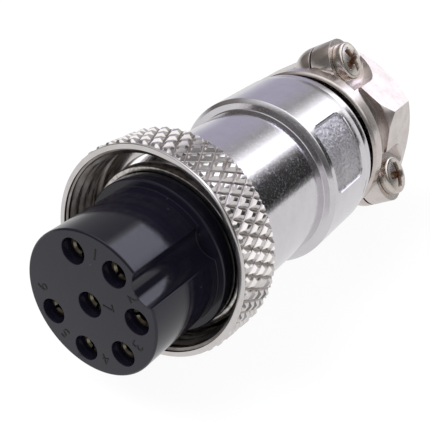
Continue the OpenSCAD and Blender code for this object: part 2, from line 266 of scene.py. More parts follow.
def mark_hollow(piece: Thing, share: Points) -> None:
    """Stores how far down in a hollow each point lies, from 0 to 1, where the finish turns darker and
    duller.
    """
    mark = piece.data.attributes.new("hollow", "FLOAT", "POINT")
    mark.data.foreach_set("value", share.ravel())


def lattice_noise(u: Points, v: Points, cell: float, seed: int) -> Points:
    """Smooth random heights from 0 to 1.

    Random values sit on a square lattice, and between them the height blends along both
    directions by s squared times (3 - 2 s), where s is the share of a cell already crossed.

    Args:
        u: First coordinate, in millimetres.
        v: Second coordinate, in millimetres.
        cell: Size of a lattice cell, in millimetres.
        seed: Start of the random draw.

    Returns:
        Heights for each point.
    """
    size = 256
    values = np.random.default_rng(seed).random((size, size))
    a, b = u / cell, v / cell
    i, j = np.floor(a).astype(int), np.floor(b).astype(int)
    s, t = a - i, b - j
    s, t = s * s * (3 - 2 * s), t * t * (3 - 2 * t)
    i, j = i % (size - 1), j % (size - 1)
    near = values[i, j] * (1 - s) + values[i + 1, j] * s
    far = values[i, j + 1] * (1 - s) + values[i + 1, j + 1] * s
    return near * (1 - t) + far * t


def merged_copy(node: str, finish: Finish, edge: float) -> Thing:
    """Copies a CAD node, welds its loose triangles and rounds its edges.

    Args:
        node: The node's name.
        finish: The copy's material.
        edge: Width of the rounding, in millimetres.

    Returns:
        The copy, which still has to ride and replace.
    """
    mesh = frame["nodes"][node].data.copy()
    mesh.name = node + "_finished"
    work = bmesh.new()
    work.from_mesh(mesh)
    bmesh.ops.remove_doubles(work, verts=work.verts, dist=WELD)
    flat = math.radians(FLAT_ANGLE)
    bmesh.ops.dissolve_limit(work, angle_limit=flat, verts=work.verts, edges=work.edges, delimit=set())
    work.to_mesh(mesh)
    work.free()
    mesh.materials.clear()
    mesh.materials.append(finish)
    smooth(mesh)
    piece = new_thing(mesh.name, mesh)
    rounding = piece.modifiers.new("rounded_edges", "BEVEL")
    rounding.limit_method = "ANGLE"
    rounding.angle_limit = math.radians(30)
    rounding.width = edge * MM
    rounding.segments = 2
    rounding.miter_outer = "MITER_ARC"
    piece.modifiers.new("even_shading", "WEIGHTED_NORMAL").keep_sharp = False
    return piece


# ---------------------------------------------------------------- finishes


@dataclass(frozen=True)
class NickelPlate:
    """Nickel plating over turned brass: a mirror with faint turning lines, pits and stains.

    A span holds the two noise values between which an effect grows from none to full.
    """

    name: str
    tone: str
    stain: str
    stain_share: float = 0.25
    stain_size: float = 1.6
    stain_span: tuple[float, float] = (0.42, 0.72)
    roughness: float = 0.12
    roughness_spread: float = 0.06
    pit_size: float = 0.12
    pit_depth: float = 0.0012
    pit_span: tuple[float, float] = (0.48, 0.72)
    line_pitch: float = 0.09
    line_depth: float = 0.0004
    grime: str | None = None
    grime_gain: float = 1.6
    grime_roughness: float = 0.22
    # painted shadow: tone and place (y from, y to, largest radius) of a dark ring in a gap between parts
    dirt: str = "#221b17"
    dirt_ring: tuple[float, float, float] | None = None

    def make(self) -> Finish:
        """Builds the material.

        Returns:
            The finish, which follows Object coordinates.
        """
        finish, tree = new_finish(self.name)
        place = add_node(tree, "TexCoord").outputs["Object"]
        noise = {"Vector": place, "Scale": 1000 / self.stain_size, "Detail": 5.0, "Roughness": 0.62}
        patches = add_node(tree, "TexNoise", noise).outputs["Fac"]
        low, high = self.stain_span
        spread = {"Value": patches, "From Min": low, "From Max": high, "To Max": self.stain_share}
        share = add_node(tree, "MapRange", spread).outputs["Result"]
        tones = {"Factor": share, "A": linear(self.tone), "B": linear(self.stain)}
        colour = add_node(tree, "Mix", tones, data_type="RGBA").outputs["Result"]
        noise = {"Vector": place, "Scale": 1000 / self.pit_size, "Detail": 2.0, "Roughness": 0.5}
        pits = add_node(tree, "TexNoise", noise).outputs["Fac"]
        low, high = self.pit_span
        dull = self.roughness + self.roughness_spread
        spread = {"Value": pits, "From Min": low, "From Max": high, "To Min": self.roughness, "To Max": dull}
        roughness = add_node(tree, "MapRange", spread).outputs["Result"]
        if self.grime:
            colour, roughness = self.add_grime(tree, patches, colour, roughness)
        xyz = add_node(tree, "SeparateXYZ", {"Vector": place}).outputs
        # painted shadow: a dark ring where the gap between parts is in shade
        if self.dirt_ring:
            colour = self.add_dirt(tree, xyz["X"], xyz["Y"], xyz["Z"], colour)
        noise = {"W": xyz["Y"], "Scale": 1000 / self.line_pitch, "Detail": 3.0}
        lines = add_node(tree, "TexNoise", noise, noise_dimensions="1D").outputs["Fac"]
        relief = {"Height": lines, "Strength": 1.0, "Distance": self.line_depth * MM}
        normal = add_node(tree, "Bump", relief).outputs["Normal"]
        relief = {"Height": pits, "Strength": 1.0, "Distance": self.pit_depth * MM, "Normal": normal}
        normal = add_node(tree, "Bump", relief).outputs["Normal"]
        metal = {"Base Color": colour, "Metallic": 1.0, "Roughness": roughness, "Normal": normal}
        shader = add_node(tree, "BsdfPrincipled", metal)
        add_node(tree, "OutputMaterial", {"Surface": shader.outputs["BSDF"]})
        return finish

    def add_grime(
        self, tree: Tree, patches: Socket, colour: Socket, roughness: Socket
    ) -> tuple[Socket, Socket]:
        """Darkens and dulls the hollows unevenly.

        Args:
            tree: The material's nodes.
            patches: How stained a place is.
            colour: The colour so far.
            roughness: The roughness so far.

        Returns:
            The new colour and roughness.
        """
        low = add_node(tree, "Attribute", attribute_name="hollow").outputs["Fac"]
        uneven = add_node(tree, "Math", {0: low, 1: patches}, operation="MULTIPLY").outputs[0]
        gain = {0: uneven, 1: self.grime_gain}
        share = add_node(tree, "Math", gain, operation="MULTIPLY", use_clamp=True).outputs[0]
        tones = {"Factor": share, "A": colour, "B": linear(self.grime)}
        dark = add_node(tree, "Mix", tones, data_type="RGBA").outputs["Result"]
        rougher = {0: low, 1: self.grime_roughness, 2: roughness}
        return dark, add_node(tree, "Math", rougher, operation="MULTIPLY_ADD").outputs[0]

    def add_dirt(self, tree: Tree, x: Socket, y: Socket, z: Socket, colour: Socket) -> Socket:
        """Paints a dark ring of shadow where a gap between parts is in shade: y between two places, and x
        squared + z squared small.

        Args:
            tree: The material's nodes.
            x: The place's x.
            y: The place's y.
            z: The place's z.
            colour: The colour so far.

        Returns:
            The new colour.
        """
        first, last, reach = self.dirt_ring
        square = add_node(tree, "Math", {0: x, 1: x}, operation="MULTIPLY").outputs[0]
        square = add_node(tree, "Math", {0: z, 1: z, 2: square}, operation="MULTIPLY_ADD").outputs[0]
        near = add_node(tree, "Math", {0: square, 1: (reach * MM) ** 2}, operation="LESS_THAN")
        band = {0: y, 1: (first + last) / 2 * MM, 2: (last - first) / 2 * MM}
        inside = add_node(tree, "Math", band, operation="COMPARE")
        both = {0: near.outputs[0], 1: inside.outputs[0]}
        ring = add_node(tree, "Math", both, operation="MULTIPLY").outputs[0]
        tones = {"Factor": ring, "A": colour, "B": linear(self.dirt)}
        return add_node(tree, "Mix", tones, data_type="RGBA").outputs["Result"]


@dataclass(frozen=True)
class MouldedPlastic:
    """Moulded black thermoset: dark with a soft sheen, a fine skin and a few pale specks of dust."""

    name: str
    tone: str
    pale: str
    roughness: float = 0.3
    polish: float = 0.04
    scuff: float = 0.06
    cloud_size: float = 3.5
    skin_size: float = 0.3
    skin_depth: float = 0.0012
    dust: str = "#6f6d78"
    dust_size: float = 0.28
    dust_span: tuple[float, float] = (0.79, 0.84)
    dust_share: float = 0.5
    ior: float = 1.46

    def make(self) -> Finish:
        """Builds the material.

        Returns:
            The finish, which follows Object coordinates.
        """
        finish, tree = new_finish(self.name)
        place = add_node(tree, "TexCoord").outputs["Object"]
        noise = {"Vector": place, "Scale": 1000 / self.cloud_size, "Detail": 4.0}
        clouds = add_node(tree, "TexNoise", noise).outputs["Fac"]
        tones = {"Factor": clouds, "A": linear(self.tone), "B": linear(self.pale)}
        base = add_node(tree, "Mix", tones, data_type="RGBA").outputs["Result"]
        noise = {"Vector": place, "Scale": 1000 / self.dust_size, "Detail": 1.0}
        specks = add_node(tree, "TexNoise", noise).outputs["Fac"]
        low, high = self.dust_span
        spread = {"Value": specks, "From Min": low, "From Max": high, "To Max": self.dust_share}
        dusty = add_node(tree, "MapRange", spread).outputs["Result"]
        tones = {"Factor": dusty, "A": base, "B": linear(self.dust)}
        colour = add_node(tree, "Mix", tones, data_type="RGBA").outputs["Result"]
        noise = {"Vector": place, "Scale": 1000 / self.skin_size, "Detail": 3.0, "Roughness": 0.6}
        skin = add_node(tree, "TexNoise", noise).outputs["Fac"]
        spread = {"Value": skin, "From Min": 0.3, "From Max": 0.7}
        spread |= {"To Min": self.roughness - self.polish, "To Max": self.roughness + self.scuff}
        rough = add_node(tree, "MapRange", spread).outputs["Result"]
        relief = {"Height": skin, "Strength": 1.0, "Distance": self.skin_depth * MM}
        normal = add_node(tree, "Bump", relief).outputs["Normal"]
        plastic = {"Base Color": colour, "Roughness": rough, "IOR": self.ior, "Normal": normal}
        shader = add_node(tree, "BsdfPrincipled", plastic)
        add_node(tree, "OutputMaterial", {"Surface": shader.outputs["BSDF"]})
        return finish


@dataclass(frozen=True)
class Finishes:
    """Every finish of the plug, made once."""

    # Bright nickel on the turned shell: a clean mirror with a lilac cast and fine pits
    shell: Finish = field(
        default_factory=NickelPlate(
            "bright_nickel_shell", "#dcd9dd", "#c3bdc2", roughness=0.1, roughness_spread=0.15,
            pit_size=0.18, pit_depth=0.003, grime="#b9b6ba", grime_roughness=0.34,
        ).make
    )
    # The same nickel on the knurl, darker, browner and duller in its grooves and all down its thread
    nut: Finish = field(
        default_factory=NickelPlate(
            "knurled_nickel_nut", "#dbd7d6", "#b9afa9", roughness=0.15, roughness_spread=0.03,
            pit_depth=0.0003, grime="#857b74", grime_roughness=0.2,
        ).make
    )
    # Handled nickel on the sleeve's face, scuffed grey where plugs rub it
    sleeve: Finish = field(
        default_factory=NickelPlate(
            "worn_nickel_sleeve", "#d8d3cf", "#665e58", stain_share=0.85, stain_size=0.4,
            roughness=0.2, pit_depth=0.003,
        ).make
    )
    # Warmer nickel on the clamp, duller and faintly pink where the plating is thin, with a dark ring of
    # painted shadow on its neck where it meets the shell
    clamp: Finish = field(
        default_factory=NickelPlate(
            "warm_nickel_clamp", "#dad2cf", "#b5a69c", stain_share=0.55, roughness=0.2,
            pit_size=0.2, pit_depth=0.004, dirt_ring=(31.2, 32.6, 7.3),
        ).make
    )
    # Plated steel screws, bright outside with brown tarnish down in the recess
    screws: Finish = field(
        default_factory=NickelPlate(
            "plated_steel_screws", "#d6cfc8", "#a8917f", stain_share=0.5, stain_size=0.6,
            roughness=0.26, grime="#80532f",
        ).make
    )
    # Turned brass contacts under a thin plating that has gone dull, brown where it wears
    contacts: Finish = field(
        default_factory=NickelPlate(
            "plated_brass_contacts", "#8f8674", "#5d4f3a", stain_share=0.8, stain_size=0.8, roughness=0.3
        ).make
    )
    # Moulded black thermoset of the insert: near black, glossy, with a bluish sheen
    insert: Finish = field(
        default_factory=MouldedPlastic("moulded_black_insert", "#100f17", "#13121d", roughness=0.11).make
    )
    # The same moulding in the numerals, darker and matt: painted shade, so that their strokes look shadowed
    numerals: Finish = field(
        default_factory=MouldedPlastic("moulded_black_numerals", "#060508", "#0a090c", roughness=0.5).make
    )
    # Matt black plate behind the contacts
    plate: Finish = field(
        default_factory=MouldedPlastic("moulded_black_plate", "#1a191c", "#232227", roughness=0.55).make
    )


# ---------------------------------------------------------------- pieces


@dataclass
class CouplingNut:
    """Loose nut with diamond knurling outside and the coupling thread inside.

    Depths along the nut are counted from its front rim.
    """

    length: float = 5.0
    lip_length: float = 0.9
    tip_radius: float = 9.0
    root_radius: float = 8.68
    rim_radius: float = 8.85
    rim_inner_radius: float = 8.4
    rim_length: float = 0.3
    crest_radius: float = 7.9
    groove_radius: float = 8.25
    bore_radius: float = 7.0
    thread_pitch: float = 1.0
    thread_start: float = 0.55
    thread_end: float = 3.5
    run_out: float = 0.3
    groove_share: float = 0.44
    flank_share: float = 0.32
    mouth_depth: float = 0.27
    mouth_step: float = 0.27
    mouth_end: float = 0.5
    back_chamfer: float = 0.3
    knurl_count: int = 50
    knurl_pitch: float = 2.2
    knurl_angle: float = 41.3
    knurl_depth: float = 1.74
    knurl_top: float = 0.36
    knurl_floor: float = 0.92
    front_slope: float = 1.3
    back_slope: float = 1.1
    cells: int = 16
    thread_cells: int = 12

    def diamonds(self, angle: Points, depth: Points) -> tuple[Points, Points, Points]:
        """Height of the knurl.

        The tips lie where both a = u + w and b = u - w are whole numbers, with u the angle
        in knurl pitches and w the depth in knurl pitches. The height falls evenly with the
        larger of the distances to the nearest whole a and b, from a flat top to a flat groove.

        Args:
            angle: Angle about the nut.
            depth: Depth behind the rim.

        Returns:
            Height as a share of the whole, and the two distances.
        """
        u = (angle - self.knurl_angle) * self.knurl_count / 360
        w = (depth - self.knurl_depth) / self.knurl_pitch
        a, b = u + w, u - w
        from_a, from_b = np.abs(a - np.round(a)), np.abs(b - np.round(b))
        far = 2 * np.maximum(from_a, from_b)
        high = np.clip((self.knurl_floor - far) / (self.knurl_floor - self.knurl_top), 0, 1)
        return high, from_a, from_b

    def thread(self, angle: Points, depth: Points) -> Points:
        """Radius of the threaded bore.

        One turn advances by the pitch. Across a turn the radius goes from the crest's flat
        up a straight flank to the groove's flat and back, and past the thread's end it
        runs out into the groove's radius. The mouth steps down from the rim's inner edge.

        Args:
            angle: Angle about the nut.
            depth: Depth behind the rim.

        Returns:
            The radius at each place.
        """
        share = np.mod(depth / self.thread_pitch - angle / 360 + self.thread_start, 1)
        rise = np.clip((self.groove_share - np.abs(share - 0.5)) / self.flank_share, 0, 1)
        high = self.groove_radius - self.crest_radius
        past = np.clip((depth - self.thread_end) / self.run_out + 1 / 3, 0, 1)
        step = np.clip((depth - self.mouth_depth) / 0.05, 0, 1) * self.mouth_step
        mouth = self.rim_inner_radius - step - np.clip(depth - self.mouth_end, 0, 1)
        return np.maximum(self.crest_radius + high * np.maximum(rise, past), mouth)

    def plain_rows(self, knurl_end: float) -> tuple[Points, Points]:
        """Rows of the section that are plain circles.

        Args:
            knurl_end: Depth at which the knurl ends.

        Returns:
            Rows of radius and depth in front of the knurl and behind it.
        """
        outline = soft_profile(
            [
                (self.rim_inner_radius, 0.0, 0.04),
                (self.rim_radius, 0.0, 0.07),
                (self.rim_radius, self.rim_length - 0.06, 0.03),
                (self.root_radius, self.rim_length, 0.0),
                (self.root_radius + 0.02, knurl_end, 0.0),
                (self.root_radius - 0.3, self.length, 0.07),
                (self.bore_radius, self.length, 0.08),
                (self.bore_radius, self.length - self.lip_length, 0.06),
                (self.groove_radius, self.length - self.lip_length, 0.0),
            ]
        )
        front = outline[outline[:, 1] < self.rim_length - 0.001]
        return front, outline[outline[:, 1] > self.rim_length + 0.001]

    def build(self, finish: Finish) -> Thing:
        """Builds the nut as one closed grid: columns round the axis, rows round its section.

        Args:
            finish: Its material.

        Returns:
            The nut.
        """
        columns = self.knurl_count * self.cells
        angle = self.knurl_angle + np.arange(columns) * 360 / columns
        step = self.knurl_pitch / self.cells
        knurl_end = self.length - self.back_chamfer
        first = math.ceil((self.rim_length - self.knurl_depth) / step)
        last = math.floor((knurl_end - self.knurl_depth) / step)
        band = self.knurl_depth + np.arange(first, last + 1) * step
        front, back = self.plain_rows(knurl_end)
        high, from_a, from_b = self.diamonds(angle[None, :], band[:, None])
        # the knurl fades out towards both ends
        envelope = np.minimum(
            self.root_radius + 0.05 + (band - self.rim_length) * self.front_slope,
            self.root_radius + 0.06 + (knurl_end - band) * self.back_slope,
        )[:, None]
        band_radius = np.minimum(
            self.root_radius + (self.tip_radius - self.root_radius) * high,
            np.maximum(envelope, self.root_radius),
        )
        bore_end = self.length - self.lip_length - 0.04
        bore_depth = np.arange(bore_end, 0.02, -self.thread_pitch / self.thread_cells)
        rows = [
            (np.broadcast_to(front[:, :1], (len(front), columns)), front[:, 1]),
            (band_radius, band),
            (np.broadcast_to(back[:, :1], (len(back), columns)), back[:, 1]),
            (self.thread(angle[None, :], bore_depth[:, None]), bore_depth),
        ]
        radius = np.concatenate([r[0] for r in rows])
        depth = np.concatenate([r[1] for r in rows])
        local = turn_about_y(radius, depth[:, None] + self.lip_length / 2 - self.length, angle[None, :])

        quads = grid_faces(len(radius), columns)
        row = np.repeat(np.arange(len(radius)), columns)
        start = len(front)
        in_band = (row >= start) & (row < start + len(band) - 1)
        faces = quads[~in_band].tolist() + self.split(quads[in_band], from_a, from_b)
        nut = make_piece("knurled_nut", self.place(local.reshape(-1, 3)), faces, finish, sharp=25)
        hollow = np.zeros((len(radius), columns))
        # the knurl's grooves and the whole threaded bore are coloured darker, browner and duller
        hollow[start : start + len(band)] = np.clip(1 - high * 3, 0, 1)
        hollow[-len(bore_depth) :] = 0.9
        hollow[-2:] = 0.2
        mark_hollow(nut, hollow)
        return nut

    def split(self, cells: Faces, from_a: Points, from_b: Points) -> list:
        """Splits each of the knurl's cells along the groove that is nearer to it.

        Args:
            cells: The knurl's quads, row by row.
            from_a: Distance to the nearest whole a at each point of the knurl.
            from_b: Distance to the nearest whole b.

        Returns:
            Two triangles for each quad.
        """
        middle_a = (from_a[:-1] + np.roll(from_a, -1, 1)[1:]) / 2
        middle_b = (np.roll(from_b, -1, 1)[:-1] + from_b[1:]) / 2
        along = (middle_a > middle_b).ravel()
        first_way = np.concatenate([cells[along][:, [0, 1, 3]], cells[along][:, [1, 2, 3]]])
        other_way = np.concatenate([cells[~along][:, [0, 1, 2]], cells[~along][:, [0, 2, 3]]])
        return first_way.tolist() + other_way.tolist()

    def place(self, local: Points) -> Points:
        """Carries points from the nut's own frame to its joint.

        Args:
            local: Rows of x, y and z about the middle of the lip, with y along the nut's axis.

        Returns:
            The same points in the plug's frame.
        """
        joint = next(j for j in frame["joints"] if j["name"] == "nut_spin")
        forward = np.array(joint["axis"], float)
        forward /= np.linalg.norm(forward)
        side = np.array([1.0, 0.0, 0.0])
        up = np.cross(side, forward)
        return local @ np.stack([side, forward, up]) + np.array(joint["pos_m"]) / MM


@dataclass
class RearShell:
    """Stepped shell with a recessed, stippled panel on its rear part."""

    front_radius: float = 7.2
    rear_radius: float = 8.15
    front_length: float = 9.9
    step: float = 0.1
    step_from_end: float = 1.3
    back_edge: float = 0.35
    front_edge: float = 0.2
    shoulder_chamfer: float = 0.35
    tail_bore: float = 6.23
    ring_bore: float = 5.45
    ring_length: float = 0.8
    wire_room: float = 6.1
    cable_room: float = 6.6
    neck_bore: float = 7.03
    neck_length: float = 4.4
    panel_from_shoulder: float = 0.9
    panel_length: float = 5.2
    panel_angle: float = 28.0
    panel_arc: float = 46.0
    panel_depth: float = 0.2
    panel_wall: float = 0.12
    corner: float = 0.85
    cell: float = 0.075
    margin: float = 0.3
    lump_sizes: tuple[float, float] = (0.2, 0.13)
    lump_height: float = 0.045
    coarse_columns: int = 130

    def outline(self, low: float, high: float) -> Points:
        """The shell's section.

        Args:
            low: The y of its front end.
            high: The y of its rear end.

        Returns:
            Rows of radius and y.
        """
        shoulder = low + self.front_length
        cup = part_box("contact_plate")[1].y / MM
        rear = self.rear_radius - self.step
        room_step = shoulder + self.shoulder_chamfer
        groove = high - self.step_from_end
        return soft_profile(
            [
                (self.tail_bore, low, 0.06),
                (self.front_radius, low, self.front_edge),
                (self.front_radius, shoulder, 0.08),
                (self.rear_radius - self.shoulder_chamfer, shoulder, 0.06),
                (self.rear_radius, room_step, 0.1),
                (self.rear_radius, groove, 0.03),
                (rear - self.step, groove, 0.0),
                (rear - self.step, groove + self.step, 0.0),
                (rear, groove + self.step, 0.03),
                (rear, high - self.back_edge, 0.12),
                (rear - self.back_edge, high, 0.06),
                (self.neck_bore, high, 0.05),
                (self.neck_bore, high - self.neck_length, 0.0),
                (self.cable_room, high - self.neck_length, 0.0),
                (self.cable_room, room_step + self.cable_room - self.wire_room, 0.0),
                (self.wire_room, room_step, 0.0),
                (self.wire_room, cup + self.ring_length, 0.0),
                (self.ring_bore, cup + self.ring_length, 0.05),
                (self.ring_bore, cup, 0.05),
                (self.tail_bore, cup, 0.0),
            ]
        )

    def build(self, finish: Finish) -> Thing:
        """Builds the shell as one closed grid, dense over the panel.

        Args:
            finish: Its material.

        Returns:
            The shell.
        """
        low, high = (v.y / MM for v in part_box("rear_shell"))
        outline = self.outline(low, high)
        panel_start = low + self.front_length + self.panel_from_shoulder
        panel_end = panel_start + self.panel_length
        fine_y = np.arange(panel_start - self.margin, panel_end + self.margin, self.cell)
        fine = np.stack([np.full(len(fine_y), self.rear_radius), fine_y], axis=1)
        cut = np.argmax((outline[:, 0] >= self.rear_radius - 1e-6) & (outline[:, 1] > panel_end))
        dense = slice(cut, cut + len(fine))
        outline = np.concatenate([outline[:cut], fine, outline[cut:]])
        reach = self.panel_arc / 2 + math.degrees(self.margin / self.rear_radius)
        fine_angle = np.arange(-reach, reach, math.degrees(self.cell / self.rear_radius))
        coarse = np.linspace(fine_angle[-1], fine_angle[0] + 360, self.coarse_columns)[1:-1]
        angle = np.concatenate([fine_angle, coarse])
        radius = np.broadcast_to(outline[:, :1], (len(outline), len(angle))).copy()
        radius[dense] -= self.panel(angle[None, :], fine_y[:, None], panel_start)
        points = turn_about_y(radius, outline[:, 1:], angle[None, :] + self.panel_angle)
        faces = grid_faces(*radius.shape).tolist()
        shell = make_piece("turned_rear_shell", points, faces, finish)
        hollow = np.zeros(radius.shape)
        hollow[dense] = np.clip((self.rear_radius - radius[dense]) / (self.panel_depth / 2), 0, 1)
        mark_hollow(shell, hollow)
        return shell

    def panel(self, angle: Points, y: Points, start: float) -> Points:
        """Depth of the panel below the rear part.

        The signed distance to a rectangle with round corners gives the panel's edge, over
        which the depth grows from nothing to its full value. Two sizes of smooth random
        lumps stand on its floor, weighted towards the floor's low places.

        Args:
            angle: Angle from the panel's middle.
            y: Place along the axis.
            start: Where the panel starts.

        Returns:
            The depth at each place.
        """
        along = np.radians(angle) * self.rear_radius
        across = y - start - self.panel_length / 2
        half_width = math.radians(self.panel_arc / 2) * self.rear_radius
        du = np.abs(along) - half_width + self.corner
        dv = np.abs(across) - self.panel_length / 2 + self.corner
        outside = np.hypot(np.maximum(du, 0), np.maximum(dv, 0))
        distance = outside + np.minimum(np.maximum(du, dv), 0) - self.corner
        sunk = np.clip(-distance / self.panel_wall, 0, 1)
        shift = 40  # keeps the lattice's coordinates above zero
        large, small = (
            lattice_noise(along + shift, across + shift, size, seed)
            for seed, size in enumerate(self.lump_sizes, 5)
        )
        lumps = np.clip(((large + small) / 2 - 0.3) / 0.45, 0, 1)
        return sunk * (self.panel_depth - self.lump_height * lumps * sunk)


@dataclass
class FrontSleeve:
    """Sleeve whose flange shows inside the nut, with its neck and threaded tail."""

    flange_radius: float = 7.18
    flange_length: float = 1.0
    seat_radius: float = 6.73
    seat_depth: float = 0.5
    bore: float = 5.78
    neck_radius: float = 6.3
    neck_length: float = 3.0
    tail_radius: float = 6.2
    tail_chamfer: float = 0.3
    columns: int = 160

    def build(self, finish: Finish) -> Thing:
        """Builds the sleeve by turning its section round the axis.

        Args:
            finish: Its material.

        Returns:
            The sleeve.
        """
        low, high = (v.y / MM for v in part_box("front_sleeve"))
        neck = low + self.flange_length
        tail = neck + self.neck_length
        outline = soft_profile(
            [
                (self.seat_radius, low, 0.05),
                (self.flange_radius, low, 0.12),
                (self.flange_radius, neck, 0.06),
                (self.neck_radius, neck, 0.05),
                (self.neck_radius, tail, 0.03),
                (self.tail_radius, tail, 0.0),
                (self.tail_radius, high - self.tail_chamfer, 0.0),
                (self.tail_radius - self.tail_chamfer, high, 0.0),
                (self.bore, high, 0.0),
                (self.bore, low + self.seat_depth, 0.0),
                (self.seat_radius, low + self.seat_depth, 0.0),
            ]
        )
        angle = np.arange(self.columns) * 360 / self.columns
        points = turn_about_y(outline[:, :1], outline[:, 1:], angle[None, :])
        faces = grid_faces(len(outline), self.columns).tolist()
        return make_piece("turned_front_sleeve", points, faces, finish)


class Side(Enum):
    """The two clamp screws, with the sign of their place across the clamp and their turn."""

    UPPER = (1, 20.0)
    LOWER = (-1, -15.0)

    @property
    def sign(self) -> int:
        """Which side of the axis the screw is on."""
        return self.value[0]

    @property
    def turn(self) -> float:
        """How far the recess is turned about the screw."""
        return self.value[1]


@dataclass
class ClampScrew:
    """Pan-head screw with a cross recess and a fine thread."""

    side: Side
    clamp_angle: float = 28.5
    spacing: float = 12.5
    seat: float = 5.37
    tip: float = -1.6
    shank_radius: float = 1.0
    thread_pitch: float = 0.4
    thread_depth: float = 0.13
    head_radius: float = 1.9
    head_height: float = 1.25
    head_corner: float = 0.24
    dome: float = 0.4
    recess_span: float = 2.5
    recess_width: float = 0.62
    recess_depth: float = 0.7
    recess_wall: float = 0.1
    recess_end: float = 0.25
    columns: int = 96
    face_rows: int = 33

    def section(self, angle: Points) -> tuple[Points, Points, Points]:
        """The screw's rows from the middle of its head to its tip.

        Args:
            angle: The columns' angles about the screw.

        Returns:
            Radius and height on the grid, and the recess's share on the head's rows.
        """
        face = np.linspace(0, 1, self.face_rows + 1)[1:] * (self.head_radius - 0.3)
        turn = np.radians(angle)
        sunk = self.recess(face[:, None] * np.cos(turn), face[:, None] * np.sin(turn))
        crown = self.seat + self.head_height - self.dome * (face / self.head_radius) ** 2
        head = soft_profile(
            [
                (face[-1] + 0.001, crown[-1], 0.0),
                (self.head_radius, crown[-1] - 0.03, self.head_corner),
                (self.head_radius, self.seat, 0.05),
                (self.shank_radius, self.seat, 0.0),
                (0.0, self.seat, 0.0),
            ],
            steps=6,
        )[1:-2]
        shank = np.arange(self.seat - 0.05, self.tip + 0.25, -self.thread_pitch / 8)
        wave = np.abs(np.mod(shank[:, None] / self.thread_pitch + angle[None, :] / 360, 1) - 0.5) * 2
        thread = self.shank_radius - self.thread_depth * np.clip(1.25 * wave - 0.1, 0, 1)
        end = np.array([[self.shank_radius - 0.28, self.tip + 0.02], [0.3, self.tip]])
        rows = [
            (face[:, None], crown[:, None] - self.recess_depth * sunk),
            (head[:, :1], head[:, 1:]),
            (thread, shank[:, None]),
            (end[:, :1], end[:, 1:]),
        ]
        radius, height = (
            np.concatenate([np.broadcast_to(r[k], (len(r[0]), len(angle))) for r in rows]) for k in (0, 1)
        )
        return radius, height, sunk

    def build(self, finish: Finish) -> Thing:
        """Builds the screw as one grid with a pole at each end.

        Args:
            finish: Its material.

        Returns:
            The screw.
        """
        node = "clamp_screw_" + self.side.name.lower()
        angle = np.arange(self.columns) * 360 / self.columns
        radius, height, sunk = self.section(angle)
        around = turn_about_y(radius, height, angle[None, :]).reshape(-1, 3)
        poles = np.array([[0, self.seat + self.head_height - self.recess_depth, 0], [0, self.tip, 0]])
        quads = grid_faces(len(radius), self.columns, closed_rows=False)
        i = np.arange(self.columns)
        beside = (i + 1) % self.columns
        cap = np.stack([np.full_like(i, len(around)), i, beside], axis=1)
        base = len(around) - self.columns
        tail = np.stack([base + beside, base + i, np.full_like(i, len(around) + 1)], axis=1)
        faces = quads[:, ::-1].tolist() + cap[:, ::-1].tolist() + tail[:, ::-1].tolist()
        points = self.place(np.concatenate([around, poles]), node)
        screw = make_piece(node + "_finished", points, faces, finish, sharp=38)
        hollow = np.zeros(len(points))
        hollow[: sunk.size] = np.clip(sunk.ravel() * 1.6, 0, 1)
        hollow[-2] = 1
        mark_hollow(screw, hollow)
        return screw

    def place(self, local: Points, node: str) -> Points:
        """Carries points from the screw's own frame, with +Y from tip to head, to the clamp.

        Args:
            local: Rows of x, y and z about the clamp's split.
            node: The CAD node that the screw stands for.

        Returns:
            The same points in the plug's frame.
        """
        low, high = (v.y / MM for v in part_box(node))
        lean, turn = math.radians(self.clamp_angle), math.radians(self.side.turn)
        along = np.array([math.cos(lean), 0, math.sin(lean)])
        over = np.array([-math.sin(lean), 0, math.cos(lean)])
        back = np.array([0.0, 1.0, 0.0])
        first = back * math.cos(turn) + over * math.sin(turn)
        second = np.cross(first, along)
        centre = over * self.side.sign * self.spacing / 2 + back * (low + high) / 2
        return local @ np.stack([first, along, second]) + centre

    def recess(self, x: Points, z: Points) -> Points:
        """Share of the recess's depth at a place on the head.

        Each arm's side is a ramp at half its width, its end is a longer ramp, and the deeper
        of the two arms counts.

        Args:
            x: Place along the first arm's width.
            z: Place along its length.

        Returns:
            The share from 0 to 1.
        """
        half, reach = self.recess_width / 2, self.recess_span / 2

        def arm(across: Points, along: Points) -> Points:
            """Depth share of one arm."""
            side = np.clip((half - np.abs(across)) / self.recess_wall + 0.5, 0, 1)
            return side * np.clip((reach - np.abs(along)) / self.recess_end, 0, 1)

        return np.maximum(arm(x, z), arm(z, x))


